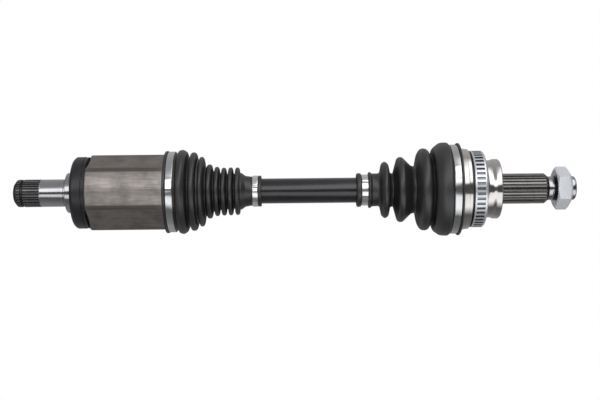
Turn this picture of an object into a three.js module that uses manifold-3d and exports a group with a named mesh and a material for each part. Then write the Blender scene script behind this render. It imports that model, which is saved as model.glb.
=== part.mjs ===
// A front axle shaft with two constant-velocity joints: a sliding tripod joint at the gearbox end (-X),
// a fixed ball joint at the wheel end (+X), a rubber boot over each, and the nut that holds the wheel hub.
// Millimetres. +X runs along the axle towards the wheel, +Z is up, and the origin is the middle of the axle.

import * as THREE from 'three';
import { mergeVertices } from 'three/addons/utils/BufferGeometryUtils.js';
import Module from 'manifold-3d';

// ---------- driving dimensions ----------

const HALF_LENGTH = 270; // half of the length over both ends
const SIDES = 24; // facets round a turned part
const GAP = 0.3; // clearance between parts that only rest on each other

const BAR_R = 12.1; // the bar between the joints
const SEAT_R = 11.7; // the splined ends of the bar, at the tip of the splines
const BORE_R = SEAT_R + GAP; // the bore of the spider and of the ball joint's inner race

const TRIPOD_X = -142; // centre of the tripod joint
const TRIPOD_ROLL = 6; // degrees that the first trunnion stands above the -Y axis
const PITCH_R = 24; // distance from the axis to the middle of a roller, and of a ball
const ROLLER_R = 14.2; // the rollers are spherical bands
const ROLLER_HALF = 5;
const ROLLER_BORE_R = 10.8;
const TRUNNION_R = 8;
const SPIDER_HALF = 9; // half of the spider's length along the axle
const TRACK_HALF = 15.15; // half of a track's width
const TRACK_OUTER_R = 33;
const LOBES = 3;

const TULIP_R = 36.5; // the inner housing over its lobes
const TULIP_BACK = -197;
const TULIP_MOUTH = -113;

const JOINT_X = 162; // centre of the ball joint
const BALL_R = 7.5;
const BALL_TRACK_R = 8.5;
const RACE_R = 21.9; // outer sphere of the inner race
const RACE_HALF = 9;
const CAGE_IN_R = 22.4;
const CAGE_OUT_R = 26.6;
const CAGE_HALF = 11;
const BELL_BORE_R = 27.4; // inner sphere of the outer housing
const BALLS = 6;

const HUB_FACE = 196.3; // the shoulder that the wheel bearing rests on
const THREAD_R = 11.7;
const ABS_TEETH = 48;
const NUT_FLATS = 36;

// ---------- materials ----------

function finish(color, roughness, metalness) {
  return new THREE.MeshStandardMaterial({ color, roughness, metalness });
}

const forgedSteel = finish(0x8f8a86, 0.45, 0.9);
const bellSteel = finish(0xb4b0ac, 0.3, 1);
const satinBlack = finish(0x1d2024, 0.4, 0.3);
const bandSteel = finish(0xc9ccce, 0.25, 1);
const zinc = finish(0xc6ccd4, 0.4, 0.9);
const bearingSteel = finish(0xb9bcc0, 0.15, 1);
const phosphate = finish(0x4a4a4c, 0.6, 0.7);
const springSteel = finish(0x3c3e42, 0.45, 0.8);
const rubber = finish(0x1c1d1f, 0.6, 0);
const blackPlastic = finish(0x202126, 0.55, 0);

// ---------- solids ----------

const wasm = await Module();
wasm.setup();

function signedVolume(points, index) {
  const [a, b, c] = [new THREE.Vector3(), new THREE.Vector3(), new THREE.Vector3()];
  let volume = 0;
  for (let i = 0; i < index.length; i += 3) {
    a.fromArray(points, 3 * index[i]);
    b.fromArray(points, 3 * index[i + 1]);
    c.fromArray(points, 3 * index[i + 2]);
    volume += a.dot(b.cross(c)) / 6;
  }
  return volume;
}

// A closed three.js geometry as a solid, with its faces turned outwards.
function solid(geometry) {
  const bare = geometry.clone();
  bare.deleteAttribute('normal');
  bare.deleteAttribute('uv');
  const merged = mergeVertices(bare, 1e-4);
  const points = merged.getAttribute('position').array;
  const kept = [];
  for (let i = 0; i < merged.index.count; i += 3) {
    const [a, b, c] = [0, 1, 2].map((k) => merged.index.getX(i + k));
    if (a !== b && b !== c && c !== a) kept.push(a, b, c);
  }
  if (signedVolume(points, kept) < 0) kept.reverse();
  const vertProperties = Float32Array.from(points);
  const triVerts = Uint32Array.from(kept);
  return new wasm.Manifold(new wasm.Mesh({ numProp: 3, vertProperties, triVerts }));
}

function geometryOf(shape) {
  const mesh = shape.getMesh();
  const geometry = new THREE.BufferGeometry();
  geometry.setAttribute('position', new THREE.BufferAttribute(Float32Array.from(mesh.vertProperties), 3));
  geometry.setIndex(new THREE.BufferAttribute(Uint32Array.from(mesh.triVerts), 1));
  geometry.computeVertexNormals();
  return geometry;
}

// A profile of [x, radius] points, turned about the X axis.
function turned(profile, sides = SIDES) {
  const points = profile.map(([x, r]) => new THREE.Vector2(r, x));
  return solid(new THREE.LatheGeometry(points, sides).rotateZ(-Math.PI / 2));
}

// An outline of [y, z] points with an optional hole, extruded along X from x0 to x1.
function extruded(outline, x0, x1, hole = null) {
  const shape = new THREE.Shape(outline.map(([y, z]) => new THREE.Vector2(y, z)));
  if (hole) shape.holes.push(new THREE.Path(hole.map(([y, z]) => new THREE.Vector2(y, z))));
  const geometry = new THREE.ExtrudeGeometry(shape, { depth: x1 - x0, bevelEnabled: false });
  const toAxle = new THREE.Matrix4().set(0, 0, 1, x0, 1, 0, 0, 0, 0, 1, 0, 0, 0, 0, 0, 1);
  return solid(geometry.applyMatrix4(toAxle));
}

function box(x0, x1, y0, y1, z0, z1) {
  const geometry = new THREE.BoxGeometry(x1 - x0, y1 - y0, z1 - z0);
  return solid(geometry.translate((x0 + x1) / 2, (y0 + y1) / 2, (z0 + z1) / 2));
}

function circle(radius, count) {
  return Array.from({ length: count }, (_, i) => {
    const angle = (2 * Math.PI * i) / count;
    return [radius * Math.cos(angle), radius * Math.sin(angle)];
  });
}

// The outline of a serrated shaft, whose pointed teeth run from the root circle to the tip circle.
function toothedOutline(teeth, rootR, tipR) {
  return Array.from({ length: 2 * teeth }, (_, i) => {
    const angle = (Math.PI * i) / teeth;
    const radius = i % 2 ? tipR : rootR;
    return [radius * Math.cos(angle), radius * Math.sin(angle)];
  });
}

// Points of an arc about (x, 0) with the given radius, from one axial offset to another, in the upper half plane.
function arcBetween(x, radius, from, to, steps) {
  const a0 = Math.acos(from / radius);
  const a1 = Math.acos(to / radius);
  return Array.from({ length: steps + 1 }, (_, i) => {
    const angle = a0 + ((a1 - a0) * i) / steps;
    return [x + radius * Math.cos(angle), radius * Math.sin(angle)];
  });
}

function closedLoop(profile) {
  return [...profile, profile[0]];
}

function ring(x0, x1, innerR, outerR, sides = SIDES) {
  return turned(closedLoop([[x0, innerR], [x0, outerR], [x1, outerR], [x1, innerR]]), sides);
}

// A snap ring with its opening on the +Y side.
function snapRing(x0, x1, innerR, outerR) {
  return ring(x0, x1, innerR, outerR).subtract(box(x0 - 1, x1 + 1, 0, outerR + 1, -1.5, 1.5));
}

// ---------- the assembly ----------

const axle = new THREE.Group();

function add(name, shape, material, parent = axle) {
  const mesh = new THREE.Mesh(geometryOf(shape), material);
  mesh.name = name;
  parent.add(mesh);
  return mesh;
}

// ---------- inner joint: housing ----------

const STUB_SPLINE_END = -244;
const STUB_SHOULDER = -219;
const STUB_R = 13.3;
const STUB_ROOT_R = 12.4;
const SNAP_X = -261.6; // the snap ring's groove
const SHOULDER_R = 19.3;
const DUST_RING_X = -211.3;
const CUFF_X = -123.6; // the boot's cuff starts here, and the housing is round under it
const CUFF_SEAT_R = 34.2;

function stubSpline() {
  const envelope = turned([
    [-HALF_LENGTH, 0], [-HALF_LENGTH, 9.7], [-266, STUB_R], [SNAP_X - 0.8, STUB_R], [SNAP_X - 0.8, 11.4],
    [SNAP_X + 0.8, 11.4], [SNAP_X + 0.8, STUB_R], [STUB_SPLINE_END, STUB_R], [STUB_SPLINE_END, 0],
  ]);
  return extruded(toothedOutline(30, STUB_ROOT_R, STUB_R), -HALF_LENGTH, STUB_SPLINE_END).intersect(envelope);
}

// The open trough between two lobes, whose floor curves inwards.
function lobeTrough() {
  const halfWidth = 17.4;
  const floor = 30;
  const outline = [[-halfWidth - 1.2, 40], [-halfWidth + 0.8, 31.2], [-8, floor + 0.3], [8, floor + 0.3],
    [halfWidth - 0.8, 31.2], [halfWidth + 1.2, 40]];
  return extruded(outline, TULIP_BACK - 1, CUFF_X - 0.6);
}

// Three roller tracks, the bore that joins them, and the flare that leaves room for the bar when it tilts.
function tulipCavity() {
  const back = -186;
  const front = TULIP_MOUTH + 1;
  const track = box(back, front, -TRACK_HALF, TRACK_HALF, 0, TRACK_OUTER_R + 2);
  const limit = turned([[back, 0], [back, TRACK_OUTER_R], [front, TRACK_OUTER_R], [front, 0]]);
  let cavity = turned([[back, 0], [back, 20], [-136, 20], [front, 29.9], [front, 0]]);
  for (let lobe = 0; lobe < LOBES; lobe += 1) {
    cavity = cavity.add(track.intersect(limit).rotate([(360 * lobe) / LOBES, 0, 0]));
  }
  return cavity;
}

function tulip() {
  let body = turned([
    [STUB_SPLINE_END - 1, 0], [STUB_SPLINE_END - 1, 13.2], [-221, 13.2], [-220.5, 12.8], [STUB_SHOULDER, 12.8],
    [STUB_SHOULDER, SHOULDER_R - 0.5], [STUB_SHOULDER + 0.6, SHOULDER_R], [TULIP_BACK, SHOULDER_R],
    [TULIP_BACK, TULIP_R - 1], [TULIP_BACK + 1, TULIP_R], [CUFF_X - GAP, TULIP_R], [CUFF_X - GAP, CUFF_SEAT_R],
    [TULIP_MOUTH, CUFF_SEAT_R], [TULIP_MOUTH, 0],
  ]).subtract(tulipCavity());
  for (let lobe = 0; lobe < LOBES; lobe += 1) {
    body = body.subtract(lobeTrough().rotate([(360 * lobe) / LOBES + 180, 0, 0]));
  }
  return body;
}

// The tulip is drawn with its first lobe straight up, then rolled so that this lobe faces the trunnion's side.
const TO_FIRST_LOBE = 90 - TRIPOD_ROLL;

function innerHousing() {
  const core = turned([[-269.5, 0], [-269.5, 9.5], [-266, 11.6], [STUB_SPLINE_END, 11.6], [STUB_SPLINE_END, 0]]);
  const narrow = ring(SNAP_X - 0.8, SNAP_X + 0.8, 11.4, 14);
  return tulip().rotate([TO_FIRST_LOBE, 0, 0]).add(stubSpline()).add(core.subtract(narrow));
}

add('inner_housing', innerHousing(), forgedSteel);
add('stub_snap_ring', snapRing(SNAP_X - 0.5, SNAP_X + 0.5, 11.7, 13.6), springSteel);

add('dust_ring', turned(closedLoop([
  [DUST_RING_X, SHOULDER_R + GAP], [DUST_RING_X, 33], [DUST_RING_X + 1.6, 34.6], [-200, 34.6], [-200, 34.2],
  [TULIP_BACK - GAP, 34.2], [TULIP_BACK - GAP, SHOULDER_R + GAP],
])), blackPlastic);

// ---------- inner joint: tripod ----------

const CLIP_THICK = 1.5;

function trunnions() {
  const profile = [
    [0, 0], [0, TRUNNION_R], [29.2, TRUNNION_R], [29.2, 6.8], [30.6, 6.8], [30.6, 7.6], [31.2, 7], [31.2, 0],
  ];
  const upright = turned(profile, 24).rotate([0, -90, 0]);
  return [0, 1, 2].map((lobe) => upright.rotate([(360 * lobe) / LOBES, 0, 0]));
}

function spider() {
  const hub = turned([[-SPIDER_HALF, 0], [-SPIDER_HALF, 14.6], [-SPIDER_HALF + 1, 15.5],
    [SPIDER_HALF - 1, 15.5], [SPIDER_HALF, 14.6], [SPIDER_HALF, 0]]);
  const bore = turned([[-12, 0], [-12, BORE_R], [12, BORE_R], [12, 0]]);
  return trunnions().reduce((body, trunnion) => body.add(trunnion), hub).subtract(bore);
}

const tripod = new THREE.Group();
tripod.position.x = TRIPOD_X;
tripod.rotation.x = THREE.MathUtils.degToRad(TO_FIRST_LOBE);
axle.add(tripod);
add('tripod_spider', spider(), bearingSteel, tripod);

// Each of these is turned about X, stood upright on +Z, then set on its trunnion.
const roller = turned(closedLoop([
  [-ROLLER_HALF, ROLLER_BORE_R], ...arcBetween(0, ROLLER_R, -ROLLER_HALF, ROLLER_HALF, 4),
  [ROLLER_HALF, ROLLER_BORE_R],
]), 24);
const NEEDLES = 18;
const needleRing = extruded(
  toothedOutline(NEEDLES, ROLLER_BORE_R - 0.9, ROLLER_BORE_R - GAP),
  -ROLLER_HALF, ROLLER_HALF, circle(TRUNNION_R + GAP, 24),
);
const rollerClip = ring(-CLIP_THICK / 2 + 0.15, CLIP_THICK / 2 - 0.15, 7.1, 9.6, 24);

for (let lobe = 0; lobe < LOBES; lobe += 1) {
  const arm = new THREE.Group();
  arm.rotation.x = (2 * Math.PI * lobe) / LOBES;
  tripod.add(arm);
  const pieces = [['roller', roller, PITCH_R], ['needle_ring', needleRing, PITCH_R], ['roller_clip', rollerClip, 29.9]];
  for (const [name, shape, height] of pieces) {
    const piece = add(`${name}_${lobe + 1}`, shape, bearingSteel, arm);
    piece.rotation.y = -Math.PI / 2;
    piece.position.z = height;
  }
}

// ---------- the bar ----------

const SPIDER_CLIP_X = TRIPOD_X - SPIDER_HALF - 1;
const RACE_CLIP_X = JOINT_X + RACE_HALF + 1;
const INNER_SMALL_CLAMP = [-40.6, -35.3];
const OUTER_SMALL_CLAMP = [64.2, 70.7];

function bar() {
  const end = 4;
  const groove = 0.8;
  const clipBed = 10.4;
  return turned([
    [SPIDER_CLIP_X - end, 0], [SPIDER_CLIP_X - end, SEAT_R - 1], [SPIDER_CLIP_X - end + 1, SEAT_R],
    [SPIDER_CLIP_X - groove, SEAT_R], [SPIDER_CLIP_X - groove, clipBed], [SPIDER_CLIP_X + groove, clipBed],
    [SPIDER_CLIP_X + groove, SEAT_R], [TRIPOD_X + SPIDER_HALF + GAP, SEAT_R], [TRIPOD_X + SPIDER_HALF + GAP, BAR_R],
    [JOINT_X - RACE_HALF - GAP, BAR_R], [JOINT_X - RACE_HALF - GAP, SEAT_R], [RACE_CLIP_X - groove, SEAT_R],
    [RACE_CLIP_X - groove, clipBed], [RACE_CLIP_X + groove, clipBed], [RACE_CLIP_X + groove, SEAT_R],
    [RACE_CLIP_X + end - 1, SEAT_R], [RACE_CLIP_X + end, SEAT_R - 1], [RACE_CLIP_X + end, 0],
  ]);
}

add('axle_bar', bar(), satinBlack);
add('spider_snap_ring', snapRing(SPIDER_CLIP_X - 0.6, SPIDER_CLIP_X + 0.6, 10.7, 13), springSteel);
add('race_snap_ring', snapRing(RACE_CLIP_X - 0.6, RACE_CLIP_X + 0.6, 10.7, 13), springSteel);

// ---------- outer joint ----------

// A ball's track is a circle about the joint's centre, in the plane of the axle and the ball. It serves two balls.
const ballTrack = solid(new THREE.TorusGeometry(PITCH_R, BALL_TRACK_R, 16, 30).rotateX(Math.PI / 2));

function eachTrack(shape) {
  return Array.from({ length: BALLS / 2 }, (_, i) => shape.rotate([(360 * i) / BALLS, 0, 0]));
}

function cutAll(body, cutters) {
  return cutters.reduce((rest, cutter) => rest.subtract(cutter), body);
}

function innerRace() {
  const sphere = arcBetween(0, RACE_R, -RACE_HALF, RACE_HALF, 4);
  const body = turned(closedLoop([[-RACE_HALF, BORE_R], ...sphere, [RACE_HALF, BORE_R]]));
  return cutAll(body, eachTrack(ballTrack));
}

function ballCage() {
  const shell = closedLoop([
    ...arcBetween(0, CAGE_OUT_R, -CAGE_HALF, CAGE_HALF, 5),
    ...arcBetween(0, CAGE_IN_R, CAGE_HALF, -CAGE_HALF, 5),
  ]);
  const half = BALL_R + GAP;
  const windows = eachTrack(box(-half, half, -half, half, -CAGE_OUT_R - 2, CAGE_OUT_R + 2));
  return cutAll(turned(shell), windows);
}

// The housing's tracks run out to the mouth, and stop a little past where a ball gets to at full lock.
function housingTrack() {
  const stop = 22;
  const angle = THREE.MathUtils.degToRad(stop);
  const along = PITCH_R * Math.sin(angle);
  const out = PITCH_R * Math.cos(angle);
  const kept = ballTrack.intersect(box(-PITCH_R - 12, along, -12, 12, -40, 40));
  const end = solid(new THREE.IcosahedronGeometry(BALL_TRACK_R, 2));
  return kept.add(end.translate([along, 0, out])).add(end.translate([along, 0, -out]));
}

const BELL_MOUTH = 147.3;
const BELL_R = 39;
const GROOVE_R = 37.2;
const RING_SEAT_R = 34.9;
const ABS_RING = [168.7, 180.1];
const BELL_BACK = 180.4;
const NECK_R = 28.7;
const HUB_SPLINE_END = 240.3;
const HUB_SPLINE_R = 14.55;
const HUB_ROOT_R = 13.7;

function bellCavity() {
  const deepest = 25;
  const lipStart = -9;
  const lipEnd = BELL_MOUTH - JOINT_X - 1;
  return turned([
    [JOINT_X + lipEnd, 0], [JOINT_X + lipEnd, 30.2], [JOINT_X + lipStart, 25.7],
    ...arcBetween(JOINT_X, BELL_BORE_R, lipStart + 0.5, deepest, 8), [JOINT_X + deepest, 0],
  ]);
}

function hubSpline() {
  const envelope = turned([
    [HUB_FACE - 1, 0], [HUB_FACE - 1, HUB_SPLINE_R], [HUB_SPLINE_END, HUB_SPLINE_R],
    [HUB_SPLINE_END + 3.4, THREAD_R], [HUB_SPLINE_END + 3.4, 0],
  ]);
  const teeth = extruded(toothedOutline(27, HUB_ROOT_R, HUB_SPLINE_R), HUB_FACE - 1, HUB_SPLINE_END + 3.4);
  return teeth.intersect(envelope);
}

function outerHousing() {
  const body = turned([
    [BELL_MOUTH, 0], [BELL_MOUTH, BELL_R - 1], [BELL_MOUTH + 1, BELL_R], [166.3, BELL_R], [166.3, GROOVE_R],
    [ABS_RING[0] - GAP, GROOVE_R], [ABS_RING[0] - GAP, RING_SEAT_R], [BELL_BACK, RING_SEAT_R], [BELL_BACK, NECK_R],
    [189.5, NECK_R], [191, NECK_R - 1.2], [192.5, NECK_R], [195.6, NECK_R], [HUB_FACE, NECK_R - 0.8],
    [HUB_FACE, 13], [HUB_SPLINE_END + 2, 13], [HUB_SPLINE_END + 3.6, 11.4], [246.5, 11.4],
    [247.1, THREAD_R], [HALF_LENGTH - 1, THREAD_R], [HALF_LENGTH, THREAD_R - 1], [HALF_LENGTH, 0],
  ]);
  const tracks = eachTrack(housingTrack()).map((track) => track.translate([JOINT_X, 0, 0]));
  return cutAll(body.subtract(bellCavity()), tracks).add(hubSpline());
}

function absRing() {
  const [x0, x1] = ABS_RING;
  const blank = ring(x0, x1, RING_SEAT_R + GAP, 36.9, ABS_TEETH);
  const halfWindow = 1.15;
  const slots = Array.from({ length: ABS_TEETH / 2 }, (_, i) =>
    box(x0 + 1.7, x1 - 1.4, -halfWindow, halfWindow, -40, 40).rotate([(360 * (i + 0.5)) / ABS_TEETH, 0, 0]));
  return cutAll(blank, slots);
}

add('outer_housing', outerHousing(), bellSteel);
add('abs_ring', absRing(), zinc);
add('ball_inner_race', innerRace(), bearingSteel).position.x = JOINT_X;
add('ball_cage', ballCage(), phosphate).position.x = JOINT_X;

const ball = solid(new THREE.IcosahedronGeometry(BALL_R, 2));
for (let i = 0; i < BALLS; i += 1) {
  const angle = (2 * Math.PI * i) / BALLS;
  const mesh = add(`ball_${i + 1}`, ball, bearingSteel);
  mesh.position.set(JOINT_X, -PITCH_R * Math.sin(angle), PITCH_R * Math.cos(angle));
}

// ---------- hub nut ----------

const NUT_X = [252.4, 267.5];

function hubNut() {
  const [x0, x1] = NUT_X;
  const cornerR = NUT_FLATS / 2 / Math.cos(Math.PI / 6);
  const corners = circle(cornerR, 6).map(([a, b]) => [b, a]);
  const cones = turned([[x0, 0], [x0, 13.9], [x0 + 4.6, cornerR + 0.1], [x1 - 4.6, cornerR + 0.1],
    [x1, 15], [x1, 0]]);
  const bore = turned([[x0 - 1, 0], [x0 - 1, THREAD_R + GAP], [x1 + 1, THREAD_R + GAP], [x1 + 1, 0]]);
  return extruded(corners, x0, x1).intersect(cones).subtract(bore);
}

add('hub_nut', hubNut(), zinc);

// ---------- boots and clamps ----------

// Each fold is [crest x, crest radius, valley x, valley radius], the valley being the one after the crest.
const INNER_FOLDS = [
  [-107.3, 40.4, -101, 33.5], [-96.9, 37.9, -92.5, 30], [-89.3, 33.7, -85.3, 23], [-81.7, 26, -77.6, 20.5],
  [-74.7, 23.9, -71.5, 18.9], [-68.1, 23.2, -64.8, 17.3], [-61.6, 23.2, -58, 17], [-55.1, 23, -51, 17.5],
];
const OUTER_FOLDS = [
  [86.1, 26.9, 92.6, 16.1], [100.1, 31.1, 113.6, 22.6], [123.6, 39.2, 129.5, 32.5],
];
const CLAMP_THICK = 1.1;
const INNER_CUFF_R = 37.5;
const OUTER_CUFF_R = 41.6;
const INNER_BIG_CLAMP = [-120.7, -114.1];
const OUTER_BIG_CLAMP = [148.9, 155.7];
const SMALL_CUFF_R = 13.6;
const CREST_HALF = 1.4;

function foldPoints(folds) {
  return folds.flatMap(([crestX, crestR, valleyX, valleyR]) => [
    [crestX - CREST_HALF, crestR], [crestX + CREST_HALF, crestR], [valleyX, valleyR],
  ]);
}

// The folds stand on a smooth inner surface that passes a wall's thickness under each valley, clear of the bar.
function bootWall(folds, innerEnd, outerEnd) {
  const wall = 3;
  const inner = folds.map(([, , x, r]) => [x, Math.max(r - wall, BAR_R + GAP)]).reverse();
  return turned(closedLoop([...innerEnd, ...foldPoints(folds), ...outerEnd, ...inner]));
}

const innerBootFlank = -112.4;
add('inner_boot', bootWall(
  INNER_FOLDS,
  [[innerBootFlank, CUFF_SEAT_R + GAP], [CUFF_X, CUFF_SEAT_R + GAP], [CUFF_X, 39.8], [-121, 39.8],
    [-121, INNER_CUFF_R], [-113.4, INNER_CUFF_R], [innerBootFlank, 39]],
  [[-43.5, 15.6], [-41, SMALL_CUFF_R], [-35, SMALL_CUFF_R], [-35, 14.6], [-32, 14.6], [-32, BAR_R + GAP]],
), rubber);

add('outer_boot', bootWall(
  OUTER_FOLDS,
  [[59.5, BAR_R + GAP], [59.5, 16.3], [63.8, 16.3], [63.8, SMALL_CUFF_R], [71, SMALL_CUFF_R], [71, 17.4],
    [73.4, 17.4], [74.5, 15.9], [80.3, 15.9]],
  [[138.6, 44], [142.1, 44.9], [147.4, 43.4], [148.5, OUTER_CUFF_R], [156.1, OUTER_CUFF_R], [156.1, 44.6],
    [158, 44.6], [158, BELL_R + GAP], [146.5, BELL_R + GAP], [142, 41.5]],
), rubber);

function clamp(name, [x0, x1], cuffR) {
  add(name, ring(x0, x1, cuffR + GAP, cuffR + GAP + CLAMP_THICK), bandSteel);
}

clamp('inner_boot_big_clamp', INNER_BIG_CLAMP, INNER_CUFF_R);
clamp('inner_boot_small_clamp', INNER_SMALL_CLAMP, SMALL_CUFF_R);
clamp('outer_boot_small_clamp', OUTER_SMALL_CLAMP, SMALL_CUFF_R);
clamp('outer_boot_big_clamp', OUTER_BIG_CLAMP, OUTER_CUFF_R);

export default axle;
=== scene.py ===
"""The looks of a CV axle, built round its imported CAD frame.

Lengths are millimetres along the axle (x) and out from it (radius) until a mesh is made, and the CAD nodes'
own boxes say where each piece goes. Angles round the axle start at +Y and turn towards +Z.
"""

import math

import bpy
import numpy as np
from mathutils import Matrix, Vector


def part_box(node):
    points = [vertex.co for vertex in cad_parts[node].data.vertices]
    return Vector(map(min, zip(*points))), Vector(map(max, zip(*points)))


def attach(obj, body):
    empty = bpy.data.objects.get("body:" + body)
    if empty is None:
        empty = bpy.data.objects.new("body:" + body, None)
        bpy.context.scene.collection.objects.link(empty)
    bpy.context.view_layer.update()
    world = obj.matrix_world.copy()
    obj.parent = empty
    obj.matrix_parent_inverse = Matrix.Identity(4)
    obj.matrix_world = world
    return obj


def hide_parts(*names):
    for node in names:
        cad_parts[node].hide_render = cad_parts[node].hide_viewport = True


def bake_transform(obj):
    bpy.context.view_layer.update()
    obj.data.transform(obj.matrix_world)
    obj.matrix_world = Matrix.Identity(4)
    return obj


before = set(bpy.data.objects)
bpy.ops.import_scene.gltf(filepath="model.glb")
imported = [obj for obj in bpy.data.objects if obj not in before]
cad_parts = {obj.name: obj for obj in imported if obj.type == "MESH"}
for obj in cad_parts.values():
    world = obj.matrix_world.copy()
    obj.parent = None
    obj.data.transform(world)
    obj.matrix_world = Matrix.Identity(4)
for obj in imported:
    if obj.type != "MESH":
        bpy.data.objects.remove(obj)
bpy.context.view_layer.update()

MM = 0.001
TURN = 2 * math.pi
COLUMNS = 192  # points round a plain turned piece
SHARP = math.radians(32)  # edges bent by more than this stay crisp
TRIPOD_ROLL = 6.0  # the first roller track faces -Y, this many degrees up
TO_THE_END = 1000  # an x past the end of the axle


def span(node):
    """Where a CAD node starts and ends along the axle, and its outer radius, in millimetres."""
    low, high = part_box(node)
    return low.x / MM, high.x / MM, high.z / MM


def middle(node):
    """The x half way along a CAD node."""
    return sum(span(node)[:2]) / 2


# ---------- mesh building ----------


def make_mesh(name, points, faces, body=None, sharp=SHARP):
    """A smooth piece, from points in millimetres. A piece without a body can be attached to one later."""
    mesh = bpy.data.meshes.new(name)
    mesh.from_pydata((np.asarray(points, float) * MM).tolist(), [], faces)
    mesh.validate()
    mesh.shade_smooth()
    mesh.set_sharp_from_angle(angle=sharp)
    piece = bpy.data.objects.new(name, mesh)
    bpy.context.scene.collection.objects.link(piece)
    if body:
        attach(piece, body)
    return piece


def even_angles(count):
    return np.arange(count) * TURN / count


def skin(name, rows, angles=None, closed=False, body=None, sharp=SHARP):
    """A surface round the axle. Each row is (x, radius), the radius a number or one value per column.

    A row of radius 0 is a single point. Closed joins the last row to the first.
    """
    if angles is None:
        angles = even_angles(COLUMNS)
    across, up = np.cos(angles), np.sin(angles)
    count = len(angles)
    points, starts = [], []
    for x, radius in rows:
        starts.append(len(points))
        if np.isscalar(radius) and radius == 0:
            points.append((x, 0, 0))
            continue
        radii = np.broadcast_to(radius, count)
        xs = np.broadcast_to(x, count)
        points.extend(zip(xs, radii * across, radii * up))
    ends = starts[1:] + [len(points)]
    pairs = list(zip(range(len(rows)), range(1, len(rows))))
    if closed:
        pairs.append((len(rows) - 1, 0))
    faces = []
    for i, j in pairs:
        a, b = starts[i], starts[j]
        for k in range(count):
            n = (k + 1) % count
            if ends[i] - a == 1:
                faces.append((a, b + n, b + k))
            elif ends[j] - b == 1:
                faces.append((a + k, a + n, b))
            else:
                faces.append((a + k, a + n, b + n, b + k))
    return make_mesh(name, points, faces, body, sharp)


def rounded(corners, default=0.3, closed=False):
    """A profile with its corners rounded. A corner is (x, radius) or (x, radius, rounding)."""
    nearly_straight = 0.02
    share_of_side = 0.49
    arc_step = math.radians(12)
    points = []
    last = len(corners) - 1
    for i, corner in enumerate(corners):
        here = np.array(corner[:2], float)
        size = corner[2] if len(corner) > 2 else default
        if size == 0 or (not closed and i in (0, last)):
            points.append(tuple(here))
            continue
        before = np.array(corners[i - 1][:2], float) - here
        after = np.array(corners[(i + 1) % len(corners)][:2], float) - here
        length_in, length_out = np.linalg.norm(before), np.linalg.norm(after)
        before, after = before / length_in, after / length_out
        bend = math.pi - math.acos(float(np.clip(before @ after, -1, 1)))
        if bend < nearly_straight:
            points.append(tuple(here))
            continue
        reach = min(size * math.tan(bend / 2), share_of_side * length_in, share_of_side * length_out)
        radius = reach / math.tan(bend / 2)
        inward = (before + after) / np.linalg.norm(before + after)
        centre = here + inward * math.hypot(reach, radius)
        first, final = here + before * reach - centre, here + after * reach - centre
        steps = max(2, math.ceil(bend / arc_step))
        for step in range(steps + 1):
            share = step / steps
            swing = (1 - share) * first + share * final
            points.append(tuple(centre + swing / np.linalg.norm(swing) * radius))
    return points


def lathe(name, corners, body=None, default=0.3, closed=True):
    """A turned piece from the corners of its profile."""
    return skin(name, rounded(corners, default, closed), closed=closed, body=body)


def arc_strip(name, x0, x1, inner, outer, start, stop, body, swell=None):
    """A flat strip bent round the axle from one angle to another, in degrees above the -Y side.

    swell gives how far the outside stands proud, in millimetres, at each share of the strip's length.
    """
    steps = max(8, int(abs(stop - start) / 2))
    edge = 0.25
    corners = [(x0, inner), (x0, outer, edge), (x1, outer, edge), (x1, inner)]
    section = rounded(corners, 0.05, closed=True)
    points, faces = [], []
    for step in range(steps + 1):
        share = step / steps
        angle = math.radians(start + (stop - start) * share)
        lift = swell(share) if swell else 0
        for x, r in section:
            radius = r + lift * (r - inner) / (outer - inner)
            points.append((x, -radius * math.cos(angle), radius * math.sin(angle)))
    count = len(section)
    for step in range(steps):
        a, b = step * count, (step + 1) * count
        for k in range(count):
            n = (k + 1) % count
            faces.append((a + k, a + n, b + n, b + k))
    faces.append(tuple(reversed(range(count))))
    faces.append(tuple(range(steps * count, (steps + 1) * count)))
    return make_mesh(name, points, faces, body)


def dress(piece, node, slot, *coats):
    """Paint a piece and let it stand for its CAD node, which is hidden. The slot is not used.

    Each coat is (material, x it ends at); a face takes the first coat that reaches past its middle.
    """
    for coat, _ in coats:
        piece.data.materials.append(coat)
    if len(coats) > 1:
        for face in piece.data.polygons:
            x = face.center.x / MM
            face.material_index = next(i for i, (_, end) in enumerate(coats) if x < end)
    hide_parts(node)


def recolour(coat, *nodes):
    """Carried-over CAD nodes keep their shape and get a finished material."""
    for node in nodes:
        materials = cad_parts[node].data.materials
        materials.clear()
        materials.append(coat)


# ---------- materials ----------


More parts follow.
